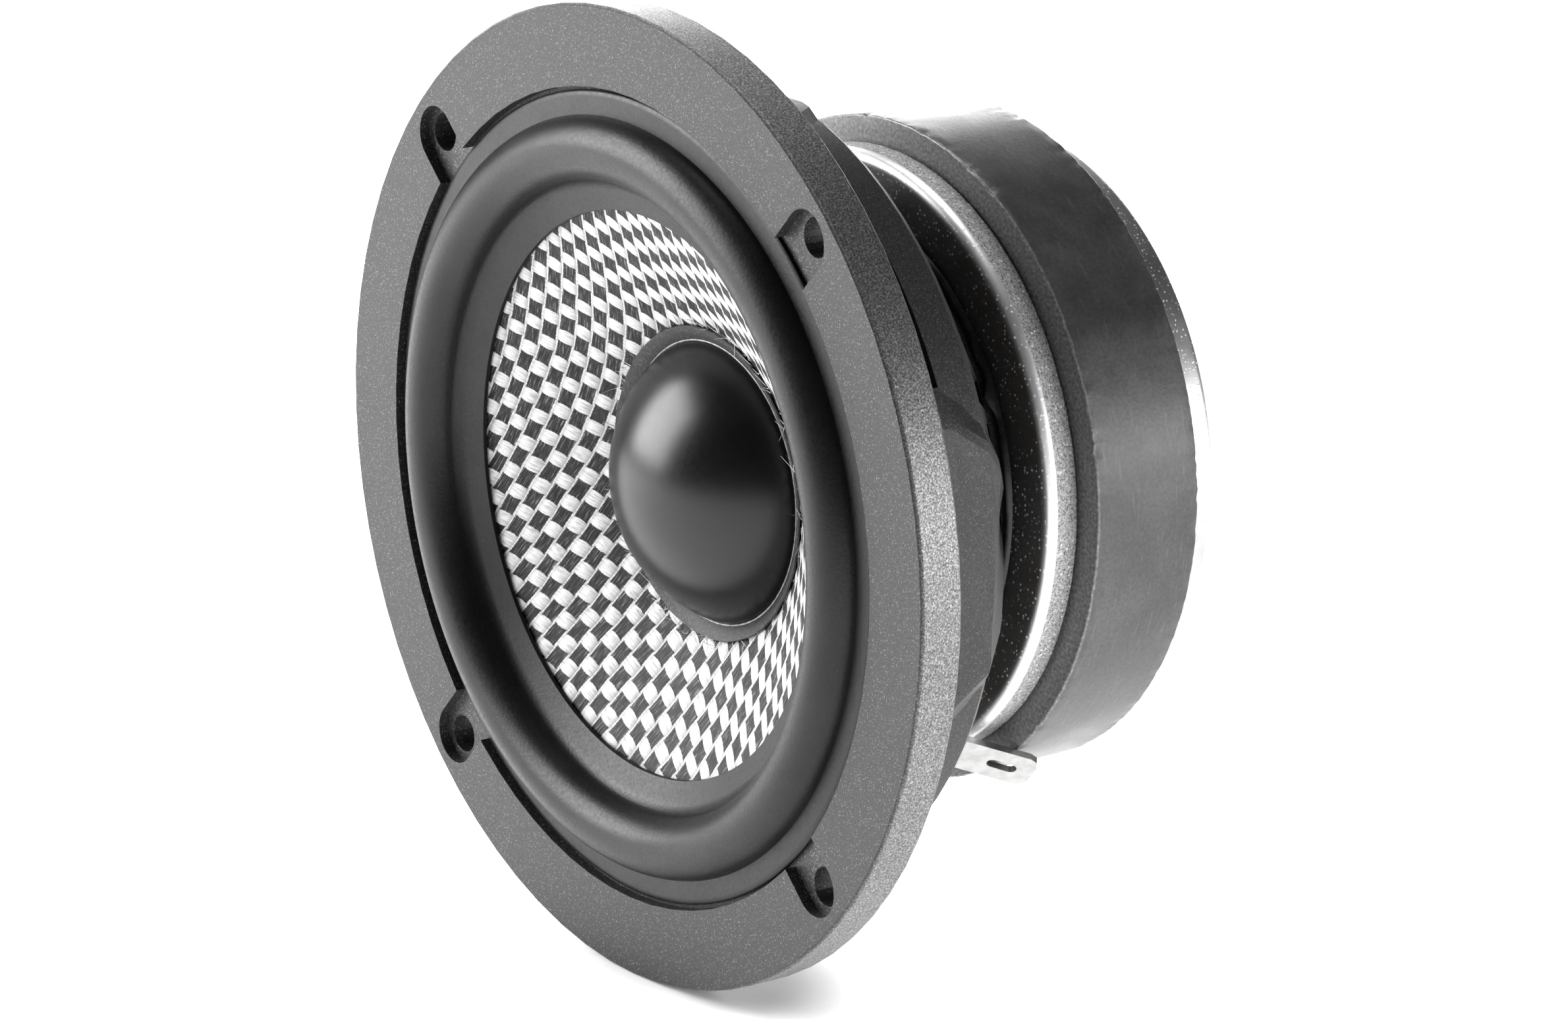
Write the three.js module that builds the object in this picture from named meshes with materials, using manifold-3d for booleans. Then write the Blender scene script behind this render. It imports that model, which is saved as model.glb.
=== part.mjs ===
// Round 100 mm class moving-coil loudspeaker driver, in millimetres.
// The driver's axis is Y: the cone faces -Y and the magnet is towards +Y. +Z is up.
// The origin is the centre of the flange's rear face, the plane that lies on the mounting panel.
import * as THREE from 'three';
import { mergeVertices } from 'three/addons/utils/BufferGeometryUtils.js';
import Module from 'manifold-3d';

const wasm = await Module();
wasm.setup();

// ---- driving dimensions ----
const GAP = 0.3; // clearance that touching pieces keep
const SEGMENTS = 72; // facets round the basket
const FINE = 48; // facets round the other large rings
const COARSE = 36; // facets round the hidden rings

const FLANGE_R = 52.5;
const FLANGE_FRONT = -5;
const FLANGE_EDGE = 0.3; // edge break on the flange's rim
const RECESS_R = 43.8;
const RECESS_FLOOR = -3.7;
const THROAT_R = 40.9; // opening behind the surround

const SCREW_COUNT = 4;
const SCREW_CIRCLE_R = 48;
const SCREW_HOLE_R = 2.1;
const POCKET_R = 3.25; // half width of the pocket round each screw head
const POCKET_CENTRE_R = 47.7;

const LEG_COUNT = 4;
const WALL_OUTER_R = 44.3;
const RING_FRONT = 7; // front edge of the rear ring, where the windows end
const RING_REAR = 12.4;
const RING_R = 43;
const CAGE_TOP_R = 42.2;
const CAGE_WALL = 2.4;
const SEAT_Y = 25.4; // rear face of the basket, on the front plate
const SEAT_R = 26.6;
const SEAT_INNER_R = 23;
const LEDGE_Y = 17.1; // front face of the spider's ledge
const LEDGE_T = 1.5;
const LEDGE_INNER_R = 29.2;
const SLOT_PITCH = 10; // degrees between the vents of the cage
const SLOT_ANGLE = 6.4;
const SLOT_FROM_LEG = 25; // degrees from a leg's middle to its nearest whole vent
const SHORT_SLOT_FROM_LEG = 15.5; // degrees from a leg's middle to the short vent beside its foot
const SHORT_SLOT_Y = 19.2;

// A leg's outline: distance along the axis, half width and the height of its ridges there.
const LEG_OUTLINE = [
  [-0.5, 18.6, 0.2],
  [3, 18.6, 0.3],
  [7, 17.5, 0.7],
  [11.4, 14.5, 1.1],
  [15, 11.4, 1.3],
  [19, 8, 1.3],
  [22, 6.2, 1],
  [SEAT_Y - 1.1, 5.4, 0.8],
];
const RIDGE_INSET = 2.3; // from the leg's edge to its ridge
const RIDGE_W = 1.2;
const VALLEY_W = 1.1; // half width of the flat between the ridges
const VALLEY_H = 0.2;

const ROLL_R = 37.3; // radius of the middle of the surround's half roll
const ROLL_Y = -3.8;
const ROLL_TUBE_R = 3.5;
const RUBBER_T = 0.45;
const LIP_R = 43.3;
const LIP_FRONT = -4.4;
const CONE_EDGE_R = 30.4; // inner edge of the rubber on the cone
const CONE_OUTER_R = 33.2;

const CONE_EDGE_Y = -1.5;
const CONE_SLOPE = 0.5;
const CONE_CURVE = 0.00576;
const CONE_T = 0.8;
const CAP_RING_R = 16.95;
const CAP_RING_INNER_R = 14.6;
const CAP_RING_T = 0.35;
const CAP_R = 15.1;
const CAP_SPHERE_R = 17;
const CAP_APEX_Y = -2.9;
const CAP_T = 0.7;

const FORMER_R = 12.75;
const FORMER_T = 0.4;
const FORMER_FRONT = 8.5;
const FORMER_REAR = 32;
const COIL_FRONT = 23.4;
const COIL_T = 0.6;

const SPIDER_Y = 16.5;
const SPIDER_T = 0.6;
const SPIDER_R = 31.6;
const SPIDER_FLAT_INNER = 15;
const SPIDER_FLAT_OUTER = 28.6;
const SPIDER_WAVES = 4;
const SPIDER_WAVE_H = 0.9;

const PLATE_R = 33.4;
const PLATE_FRONT = 25.7;
const PLATE_T = 4;
const PLATE_BORE_R = 14.2;
const PLATE_EDGE = 1.1;
const MAGNET_R = 36.35;
const MAGNET_T = 13.4;
const MAGNET_BORE_R = 18;
const BACK_T = 4.6;
const BACK_BORE_R = 8.5;
const POLE_R = 11.9;
const POLE_FRONT = 25;
const VENT_R = 4;

const BOARD_ANGLE = 33.4; // degrees from the bottom leg to each terminal board
const BOARD_TURN = 13; // degrees that each board's face turns from the radius towards its side
const BOARD_TILT = 30.5; // degrees that each board's normal leans out from the axis
const BOARD_R = 33;
const BOARD_Y = 22.1;
const BOARD_SIZE = [9, 1.6, 8.4]; // round the driver, through it, along the cage
const PAD_SIZE = [10.4, 2.2, 9.8];
const BLADE_SIZE = [4.8, 11.5, 0.8];
const BLADE_CORNER = 1.2;
const BLADE_SLOT = [3.4, 1.3];
const BLADE_SLOT_FROM_TIP = 3.6;
const FOOT_LENGTH = 3.4;
const TAIL_WIDTH = 3;
const TAIL_DEPTH = 3.4; // how far a tail reaches in from the board's outer face
const RIVET_R = 0.8;
const RIVET_HEAD_R = 1.4;
const RIVET_HEAD_T = 0.6;
const LEAD_R = 0.5;
const LEAD_PORT = [3.6, 3.4, 4.4]; // the opening in the cage behind each board
const LEAD_PAD_Y = 20;
const LEAD_PAD_SIZE = [2.4, 0.4, 2.4];

// ---- materials ----
const finish = (color, roughness, metalness) =>
  new THREE.MeshStandardMaterial({ color, roughness, metalness });
const castPaint = () => finish(0x5c5c5e, 0.55, 0.5);
const rubber = () => finish(0x1f1f20, 0.6, 0);
const weave = () => finish(0xb9b9b6, 0.6, 0);
const capPlastic = () => finish(0x161617, 0.5, 0);
const collarPaper = () => finish(0x4c4c4d, 0.7, 0);
const zinc = () => finish(0xc9c9cb, 0.35, 1);
const ferrite = () => finish(0x3d3d3f, 0.8, 0.1);
const steel = () => finish(0xb4b4b6, 0.4, 1);
const tinned = () => finish(0xe2e2e0, 0.25, 1);
const phenolic = () => finish(0x2a211a, 0.6, 0);
const glue = () => finish(0x18181a, 0.2, 0);
const amberFilm = () => finish(0x8a5a22, 0.4, 0);
const copper = () => finish(0xb06a3c, 0.35, 1);
const cloth = () => finish(0xc08a3e, 0.9, 0);

// ---- helpers ----
const driver = new THREE.Group();
const degrees = THREE.MathUtils.degToRad;

// A closed indexed geometry with its shared vertices merged and its empty triangles dropped.
function closed(geometry) {
  const bare = geometry.clone();
  for (const name of Object.keys(bare.attributes)) {
    if (name !== 'position') bare.deleteAttribute(name);
  }
  const merged = mergeVertices(bare);
  const kept = [];
  const index = merged.index.array;
  for (let i = 0; i < index.length; i += 3) {
    const [a, b, c] = [index[i], index[i + 1], index[i + 2]];
    if (a !== b && b !== c && c !== a) kept.push(a, b, c);
  }
  merged.setIndex(kept);
  return merged;
}

function solid(geometry) {
  const g = closed(geometry);
  return new wasm.Manifold(new wasm.Mesh({
    numProp: 3,
    vertProperties: new Float32Array(g.attributes.position.array),
    triVerts: new Uint32Array(g.index.array),
  }));
}

function fromSolid(manifold) {
  const m = manifold.getMesh();
  const g = new THREE.BufferGeometry();
  g.setAttribute('position', new THREE.BufferAttribute(new Float32Array(m.vertProperties), 3));
  g.setIndex(new THREE.BufferAttribute(new Uint32Array(m.triVerts), 1));
  return g;
}

function add(name, geometry, material, parent = driver) {
  const mesh = new THREE.Mesh(geometry, material);
  mesh.name = name;
  parent.add(mesh);
  return mesh;
}

// A ring turned about Y from a section of [radius, y] points. The section runs the way that
// leaves its material on the left, seen with the radius to the right and y up.
function turned(section, segments) {
  const points = [...section, section[0]].map(([r, y]) => new THREE.Vector2(r, y));
  return closed(new THREE.LatheGeometry(points, segments));
}

// A thin shell's section: the front line, then the same line moved back, in reverse.
function shellSection(front, back) {
  return [...front, ...back.slice().reverse()];
}

function moved(line, dr, dy) {
  return line.map(([r, y]) => [r + dr, y + dy]);
}

function box(width, height, depth) {
  return new THREE.BoxGeometry(width, height, depth);
}

// Turns a shape drawn in the XZ plane into a prism from y0 to y1, about the driver's axis.
function prism(shape, y0, y1) {
  const g = new THREE.ExtrudeGeometry(shape, { depth: y1 - y0, bevelEnabled: false, curveSegments: 10 });
  return g.rotateX(Math.PI / 2).translate(0, y1, 0);
}

// Polar direction in the XZ plane; positive angles run from +X towards +Z.
function spun(geometry, angle) {
  return geometry.clone().rotateY(-degrees(angle));
}

// ---- basket ----
function cageR(y) {
  const slope = (CAGE_TOP_R - SEAT_R) / (RING_REAR - (SEAT_Y - 1));
  return CAGE_TOP_R + slope * (y - RING_REAR);
}

function basketSection() {
  const lean = Math.atan2(CAGE_TOP_R - SEAT_R, SEAT_Y - 1 - RING_REAR);
  const wall = CAGE_WALL / Math.cos(lean); // wall thickness measured along the radius
  const inner = (y) => cageR(y) - wall;
  return [
    [RECESS_R, FLANGE_FRONT],
    [FLANGE_R - FLANGE_EDGE, FLANGE_FRONT],
    [FLANGE_R, FLANGE_FRONT + FLANGE_EDGE],
    [FLANGE_R, -FLANGE_EDGE],
    [FLANGE_R - FLANGE_EDGE, 0],
    [WALL_OUTER_R, 0],
    [RING_R + 0.4, RING_FRONT],
    [RING_R, RING_REAR - 1],
    [CAGE_TOP_R, RING_REAR],
    [SEAT_R, SEAT_Y - 1],
    [SEAT_R, SEAT_Y],
    [SEAT_INNER_R, SEAT_Y],
    [SEAT_INNER_R, SEAT_Y - 2],
    [inner(LEDGE_Y + LEDGE_T), LEDGE_Y + LEDGE_T],
    [LEDGE_INNER_R, LEDGE_Y + LEDGE_T],
    [LEDGE_INNER_R, LEDGE_Y],
    [inner(LEDGE_Y), LEDGE_Y],
    [inner(RING_REAR - 1.5), RING_REAR - 1.5],
    [THROAT_R, RING_FRONT],
    [THROAT_R + 0.3, 0],
    [THROAT_R, RECESS_FLOOR],
    [RECESS_R, RECESS_FLOOR],
  ];
}

// The basket's outer radius behind the flange.
function outerR(y) {
  if (y > RING_REAR) return cageR(Math.min(y, SEAT_Y - 1));
  const t = THREE.MathUtils.clamp(y / RING_REAR, 0, 1);
  return WALL_OUTER_R + (CAGE_TOP_R - WALL_OUTER_R) * t * t;
}

// One leg on the +X side: a shallow valley between two ridges that close up towards the magnet.
function legSolid() {
  const root = 1.9; // how deep the leg is sunk in the cage's wall
  const positions = [];
  const count = 10;
  for (const [y, half, ridge] of LEG_OUTLINE) {
    const ridgeOut = half - Math.min(RIDGE_INSET, half * 0.3);
    const ridgeIn = Math.max(ridgeOut - RIDGE_W, VALLEY_W + 0.4);
    const edge = [
      [VALLEY_W, VALLEY_H],
      [ridgeIn, ridge],
      [ridgeOut, ridge],
      [half, 0.15],
      [half - 0.4, -root],
    ];
    const mirrored = edge.map(([z, rise]) => [-z, rise]).reverse();
    for (const [z, rise] of [...edge, ...mirrored]) {
      positions.push(Math.sqrt(outerR(y) ** 2 - z * z) + rise, y, z);
    }
  }
  const index = [];
  const last = LEG_OUTLINE.length - 1;
  for (let row = 0; row < last; row++) {
    for (let i = 0; i < count; i++) {
      const [a, b] = [row * count + i, row * count + ((i + 1) % count)];
      index.push(a, a + count, b, b, a + count, b + count);
    }
  }
  for (let i = 1; i < count - 1; i++) {
    index.push(0, i, i + 1);
    index.push(last * count, last * count + i + 1, last * count + i);
  }
  const g = new THREE.BufferGeometry();
  g.setAttribute('position', new THREE.Float32BufferAttribute(positions, 3));
  g.setIndex(index);
  return g;
}

function windowCutter() {
  const reach = Math.tan(degrees(90 / 2 - 24.5));
  const shape = new THREE.Shape([
    new THREE.Vector2(THROAT_R * 0.8, -THROAT_R * 0.8 * reach),
    new THREE.Vector2(FLANGE_R, -FLANGE_R * reach),
    new THREE.Vector2(FLANGE_R, FLANGE_R * reach),
    new THREE.Vector2(THROAT_R * 0.8, THROAT_R * 0.8 * reach),
  ]);
  return prism(shape, 0.6, RING_FRONT);
}

// A wedge whose width grows with the radius, from an outline of [radius, y] points.
function wedge(line, angle) {
  const half = Math.tan(degrees(angle / 2));
  const outline = new THREE.Shape(line.map(([r, y]) => new THREE.Vector2(r, y)));
  const block = new THREE.ExtrudeGeometry(outline, { depth: 1, bevelEnabled: false });
  const position = block.attributes.position;
  for (let i = 0; i < position.count; i++) {
    const side = position.getZ(i) > 0.5 ? 1 : -1;
    position.setZ(i, side * half * position.getX(i));
  }
  return block;
}

const ventRear = [
  [SEAT_INNER_R + 0.4, SEAT_Y - 2.1],
  [SEAT_R + 3, SEAT_Y - 2.1],
];

// A whole vent between two ribs. It passes outside the ledge, which stays a full ring.
function ventCutter() {
  const front = RING_REAR + 0.9;
  const ledgeR = SPIDER_R + 1.1;
  return wedge([
    [RING_R + 2, front],
    [cageR(front) - 5, front],
    [ledgeR, LEDGE_Y - 0.2],
    [ledgeR, LEDGE_Y + LEDGE_T + 0.1],
    [LEDGE_INNER_R - 2.4, LEDGE_Y + LEDGE_T + 0.1],
    ...ventRear,
  ], SLOT_ANGLE);
}

function shortVentCutter() {
  return wedge([
    [cageR(SHORT_SLOT_Y) + 3, SHORT_SLOT_Y],
    [cageR(SHORT_SLOT_Y) - 6, SHORT_SLOT_Y],
    ...ventRear,
  ], SLOT_ANGLE);
}

function screwPocket() {
  const shape = new THREE.Shape();
  shape.moveTo(RECESS_R - 1.5, -POCKET_R);
  shape.lineTo(POCKET_CENTRE_R, -POCKET_R);
  shape.absarc(POCKET_CENTRE_R, 0, POCKET_R, -Math.PI / 2, Math.PI / 2, false);
  shape.lineTo(RECESS_R - 1.5, POCKET_R);
  shape.closePath();
  return prism(shape, FLANGE_FRONT - 1, RECESS_FLOOR);
}

function screwHole() {
  return new THREE.CylinderGeometry(SCREW_HOLE_R, SCREW_HOLE_R, 10, 20)
    .translate(SCREW_CIRCLE_R, FLANGE_FRONT / 2, 0);
}

// ---- terminals' own frames: X round the driver, Y out of the board, Z along the cage ----
function boardFrame(side) {
  const place = degrees(-90 + side * BOARD_ANGLE);
  const facing = degrees(-90 + side * (BOARD_ANGLE + BOARD_TURN));
  const tilt = degrees(BOARD_TILT);
  const out = new THREE.Vector3(Math.cos(facing), 0, Math.sin(facing));
  const along = new THREE.Vector3(0, 1, 0);
  const round = new THREE.Vector3(Math.sin(facing), 0, -Math.cos(facing));
  const normal = out.clone().multiplyScalar(Math.sin(tilt)).addScaledVector(along, Math.cos(tilt));
  const slope = out.clone().multiplyScalar(Math.cos(tilt)).addScaledVector(along, -Math.sin(tilt));
  const centre = new THREE.Vector3(BOARD_R * Math.cos(place), BOARD_Y, BOARD_R * Math.sin(place));
  return new THREE.Matrix4().makeBasis(round, normal, slope).setPosition(centre);
}

const rivetZ = BLADE_SIZE[2] / 2 + FOOT_LENGTH / 2;
const padTop = -BOARD_SIZE[1] - GAP;
const terminalSides = [['positive', 1], ['negative', -1]];

function tailCutter() {
  const [width, depth] = [TAIL_WIDTH + 2 * GAP, BLADE_SIZE[2] + 2 * GAP];
  return box(width, TAIL_DEPTH + 1, depth).translate(0, -(TAIL_DEPTH + 1) / 2 + 0.5, 0);
}

function leadPort() {
  const [width, through, height] = LEAD_PORT;
  const edge = BLADE_SIZE[2] / 2 + GAP;
  return box(width, through, height).translate(0, padTop - through / 2 + 0.1, edge - height / 2);
}

function rivetRecess() {
  return new THREE.CylinderGeometry(RIVET_HEAD_R + GAP, RIVET_HEAD_R + GAP, 2, 16)
    .translate(0, -BOARD_SIZE[1] - GAP, rivetZ);
}

function makeBasket() {
  let basket = solid(turned(basketSection(), SEGMENTS));
  const leg = legSolid();
  const windowTool = windowCutter();
  const vent = ventCutter();
  const shortVent = shortVentCutter();
  const pocket = screwPocket();
  const hole = screwHole();
  const quarter = 360 / LEG_COUNT;
  for (let k = 0; k < LEG_COUNT; k++) {
    const start = k * quarter;
    basket = basket.subtract(solid(spun(windowTool, start + quarter / 2)));
    for (let a = SLOT_FROM_LEG; a <= quarter - SLOT_FROM_LEG; a += SLOT_PITCH) {
      basket = basket.subtract(solid(spun(vent, start + a)));
    }
    for (const a of [SHORT_SLOT_FROM_LEG, -SHORT_SLOT_FROM_LEG]) {
      basket = basket.subtract(solid(spun(shortVent, start + a)));
    }
    basket = basket.add(solid(spun(leg, start)));
  }
  for (let i = 0; i < SCREW_COUNT; i++) {
    const angle = (i + 0.5) * (360 / SCREW_COUNT);
    basket = basket.subtract(solid(spun(pocket, angle))).subtract(solid(spun(hole, angle)));
  }
  const pad = box(...PAD_SIZE).translate(0, padTop - PAD_SIZE[1] / 2, 0);
  const room = box(BOARD_SIZE[0] + 2 * GAP, 6, BOARD_SIZE[2] + 2 * GAP).translate(0, padTop + 3, 0);
  const cuts = [room, tailCutter(), leadPort(), rivetRecess()];
  for (const [, side] of terminalSides) {
    const frame = boardFrame(side);
    basket = basket.add(solid(pad.clone().applyMatrix4(frame)));
    for (const cut of cuts) basket = basket.subtract(solid(cut.clone().applyMatrix4(frame)));
  }
  return fromSolid(basket);
}

add('basket', makeBasket(), castPaint());

// ---- motor ----
function chamferedRing(outerR, boreR, front, rear, frontEdge, rearEdge) {
  return turned([
    [boreR, front],
    [outerR - frontEdge, front],
    [outerR, front + frontEdge],
    [outerR, rear - rearEdge],
    [outerR - rearEdge, rear],
    [boreR, rear],
  ], FINE);
}

const plateRear = PLATE_FRONT + PLATE_T;
const magnetFront = plateRear + GAP;
const magnetRear = magnetFront + MAGNET_T;
const backFront = magnetRear + GAP;
const backRear = backFront + BACK_T;

add('front_plate', chamferedRing(PLATE_R, PLATE_BORE_R, PLATE_FRONT, plateRear, PLATE_EDGE, 0.2), zinc());
add('magnet', chamferedRing(MAGNET_R, MAGNET_BORE_R, magnetFront, magnetRear, 0.5, 0.5), ferrite());
add('back_plate', chamferedRing(PLATE_R, BACK_BORE_R, backFront, backRear, 0.2, 0.8), steel());
add('pole_piece', turned([
  [VENT_R, POLE_FRONT],
  [POLE_R - 0.5, POLE_FRONT],
  [POLE_R, POLE_FRONT + 0.5],
  [POLE_R, magnetRear],
  [BACK_BORE_R - GAP, magnetRear],
  [BACK_BORE_R - GAP, backRear],
  [VENT_R + 1.5, backRear],
  [VENT_R, backRear - 1.5],
], COARSE), steel());
add('seat_adhesive', turned([
  [SEAT_R + GAP, SEAT_Y - 0.5],
  [SEAT_R + 0.7, SEAT_Y - 0.5],
  [SEAT_R + 1.3, SEAT_Y - 0.1],
  [SEAT_R + 1.3, SEAT_Y],
  [SEAT_R + GAP, SEAT_Y],
], FINE), glue());

// ---- suspension ----
function surroundFront() {
  const line = [[CONE_EDGE_R, -2.3], [ROLL_R - ROLL_TUBE_R - 0.2, -3.4]];
  const steps = 9;
  const start = Math.PI;
  const end = 2 * Math.PI - Math.asin((ROLL_Y - LIP_FRONT) / ROLL_TUBE_R);
  for (let i = 0; i <= steps; i++) {
    const a = start + (end - start) * (i / steps);
    line.push([ROLL_R + ROLL_TUBE_R * Math.cos(a), ROLL_Y + ROLL_TUBE_R * Math.sin(a)]);
  }
  line.push([LIP_R, LIP_FRONT]);
  return line;
}

function surroundBack() {
  const tube = ROLL_TUBE_R - RUBBER_T;
  const lipBack = RECESS_FLOOR - GAP;
  const line = [[CONE_EDGE_R, -2.3 + RUBBER_T], [ROLL_R - ROLL_TUBE_R + 0.1, -3.4 + RUBBER_T]];
  const steps = 7;
  const end = 2 * Math.PI - Math.asin(-(ROLL_Y - lipBack) / -tube);
  for (let i = 0; i <= steps; i++) {
    const a = Math.PI + (end - Math.PI) * (i / steps);
    line.push([ROLL_R + tube * Math.cos(a), ROLL_Y + tube * Math.sin(a)]);
  }
  line.push([LIP_R, lipBack]);
  return line;
}

add('surround', turned(shellSection(surroundFront(), surroundBack()), FINE), rubber());

function spiderLine() {
  const line = [[FORMER_R + GAP, SPIDER_Y]];
  const steps = SPIDER_WAVES * 3;
  for (let i = 0; i <= steps; i++) {
    const t = i / steps;
    const r = SPIDER_FLAT_INNER + (SPIDER_FLAT_OUTER - SPIDER_FLAT_INNER) * t;
    line.push([r, SPIDER_Y - SPIDER_WAVE_H * Math.sin(2 * Math.PI * SPIDER_WAVES * t)]);
  }
  line.push([SPIDER_R, SPIDER_Y]);
  return line;
}

const spiderFront = moved(spiderLine(), 0, -SPIDER_T / 2);
add('spider', turned(shellSection(spiderFront, moved(spiderFront, 0, SPIDER_T)), COARSE), cloth());

// ---- moving assembly ----
function coneFront(r) {
  const d = CONE_EDGE_R - r;
  return CONE_EDGE_Y + CONE_SLOPE * d + CONE_CURVE * d * d;
}

function coneLine(innerR, outerR, steps) {
  const line = [];
  for (let i = 0; i <= steps; i++) {
    const r = innerR + (outerR - innerR) * (i / steps);
    line.push([r, coneFront(r)]);
  }
  return line;
}

const coneInner = FORMER_R + GAP;
const coneFace = [...coneLine(coneInner, CONE_EDGE_R, 6), [CONE_OUTER_R, CONE_EDGE_Y - 0.95]];
add('cone', turned(shellSection(coneFace, moved(coneFace, 0, CONE_T)), FINE), weave());

const collarLine = moved(coneLine(CAP_RING_INNER_R, CAP_RING_R, 2), 0, -GAP - CAP_RING_T);
add('cap_ring', turned(shellSection(collarLine, moved(collarLine, 0, CAP_RING_T)), FINE), collarPaper());

function domeLine(sphereR, rimR, steps) {
  const centre = CAP_APEX_Y + CAP_SPHERE_R;
  const sweep = Math.asin(rimR / sphereR);
  const line = [];
  for (let i = 0; i <= steps; i++) {
    const a = sweep * (i / steps);
    line.push([sphereR * Math.sin(a), centre - sphereR * Math.cos(a)]);
  }
  return line;
}

function makeDustCap() {
  const outside = domeLine(CAP_SPHERE_R, CAP_R, 7);
  const inside = domeLine(CAP_SPHERE_R - CAP_T, CAP_R - CAP_T, 6);
  const rimY = outside[outside.length - 1][1];
  const section = [...outside, [CAP_R - CAP_T, rimY], ...inside.slice(0, -1).reverse()];
  const points = section.map(([r, y]) => new THREE.Vector2(r, y));
  return closed(new THREE.LatheGeometry(points, FINE));
}

add('dust_cap', makeDustCap(), capPlastic());

function sleeve(innerR, outerR, front, rear) {
  return turned([[innerR, front], [outerR, front], [outerR, rear], [innerR, rear]], COARSE);
}

add('voice_coil_former', sleeve(FORMER_R - FORMER_T, FORMER_R, FORMER_FRONT, FORMER_REAR), amberFilm());
add('voice_coil', sleeve(FORMER_R + GAP, FORMER_R + GAP + COIL_T, COIL_FRONT, FORMER_REAR), copper());

// ---- terminals, each built about its own board ----
const rivetHole = new THREE.CylinderGeometry(RIVET_R + GAP, RIVET_R + GAP, 6, 16)
  .translate(0, 0, rivetZ);

function makeBoard() {
  const plate = solid(box(...BOARD_SIZE).translate(0, -BOARD_SIZE[1] / 2, 0));
  return fromSolid(plate.subtract(solid(tailCutter())).subtract(solid(rivetHole)));
}

function bladeOutline(foot) {
  const [width, height] = BLADE_SIZE;
  const outline = new THREE.Shape();
  outline.moveTo(-width / 2, foot);
  outline.lineTo(width / 2, foot);
  outline.lineTo(width / 2, height - BLADE_CORNER);
  outline.lineTo(width / 2 - BLADE_CORNER * 0.3, height - BLADE_CORNER * 0.3);
  outline.lineTo(width / 2 - BLADE_CORNER, height);
  outline.lineTo(BLADE_CORNER - width / 2, height);
  outline.lineTo(BLADE_CORNER * 0.3 - width / 2, height - BLADE_CORNER * 0.3);
  outline.lineTo(-width / 2, height - BLADE_CORNER);
  const slot = new THREE.Path();
  const [slotLength, slotWidth] = BLADE_SLOT;
  const slotY = height - BLADE_SLOT_FROM_TIP;
  const straight = (slotLength - slotWidth) / 2;
  slot.absarc(0, slotY + straight, slotWidth / 2, 0, Math.PI, false);
  slot.absarc(0, slotY - straight, slotWidth / 2, Math.PI, 2 * Math.PI, false);
  outline.holes.push(slot);
  return outline;
}

function makeTerminal() {
  const [width, , thick] = BLADE_SIZE;
  const blade = new THREE.ExtrudeGeometry(bladeOutline(GAP), {
    depth: thick, bevelEnabled: false, curveSegments: 6,
  }).translate(0, 0, -thick / 2);
  const foot = box(width, thick, FOOT_LENGTH + thick).translate(0, GAP + thick / 2, FOOT_LENGTH / 2);
  const tail = box(TAIL_WIDTH, TAIL_DEPTH + 1, thick).translate(0, (1 - TAIL_DEPTH) / 2, 0);
  return fromSolid(solid(blade).add(solid(foot)).add(solid(tail)).subtract(solid(rivetHole)));
}

function makeRivet() {
  const headY = 2 * GAP + BLADE_SIZE[2];
  const buckY = -BOARD_SIZE[1] - GAP;
  const line = [
    [0, buckY - RIVET_HEAD_T / 2],
    [RIVET_HEAD_R * 0.9, buckY - RIVET_HEAD_T / 2],
    [RIVET_HEAD_R * 0.9, buckY],
    [RIVET_R, buckY],
    [RIVET_R, headY],
    [RIVET_HEAD_R, headY],
    [RIVET_HEAD_R * 0.7, headY + RIVET_HEAD_T],
    [0, headY + RIVET_HEAD_T],
  ];
  const points = line.map(([r, y]) => new THREE.Vector2(r, y));
  return closed(new THREE.LatheGeometry(points, 16)).translate(0, 0, rivetZ);
}

// ---- flexible leads, behind the spider, from the coil's former to the terminals' tails ----
function makeLeadPad(angle) {
  const [width, thick, height] = LEAD_PAD_SIZE;
  const pad = box(thick, height, width).translate(FORMER_R + GAP + thick / 2, LEAD_PAD_Y, 0);
  return spun(pad, angle);
}

function makeLead(frame, angle) {
  const polar = (r, y) => new THREE.Vector3(
    r * Math.cos(degrees(angle)), y, r * Math.sin(degrees(angle)),
  );
  const startR = FORMER_R + 2 * GAP + LEAD_PAD_SIZE[1];
  const end = new THREE.Vector3(0, -TAIL_DEPTH - GAP, 0).applyMatrix4(frame);
  const nearEnd = new THREE.Vector3(0, -TAIL_DEPTH - GAP - 0.5, -0.4).applyMatrix4(frame);
  const curve = new THREE.CatmullRomCurve3([
    polar(startR, LEAD_PAD_Y),
    polar(startR + 1.5, LEAD_PAD_Y + 0.3),
    polar(19.5, LEAD_PAD_Y + 1.9),
    polar(24, LEAD_PAD_Y + 1.3),
    polar(28, LEAD_PAD_Y - 0.2),
    nearEnd,
    end,
  ]);
  const section = new THREE.Shape().absarc(0, 0, LEAD_R, 0, 2 * Math.PI, false);
  return closed(new THREE.ExtrudeGeometry(section, {
    extrudePath: curve, steps: 18, bevelEnabled: false, curveSegments: 4,
  }));
}

for (const [name, side] of terminalSides) {
  const frame = boardFrame(side);
  const angle = -90 + side * BOARD_ANGLE;
  add(`terminal_board_${name}`, makeBoard(), phenolic()).applyMatrix4(frame);
  add(`terminal_${name}`, makeTerminal(), tinned()).applyMatrix4(frame);
  add(`terminal_rivet_${name}`, makeRivet(), steel()).applyMatrix4(frame);
  add(`coil_lead_pad_${name}`, makeLeadPad(angle), copper());
  add(`tinsel_lead_${name}`, makeLead(frame, angle), tinned());
}

export default driver;
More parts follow.
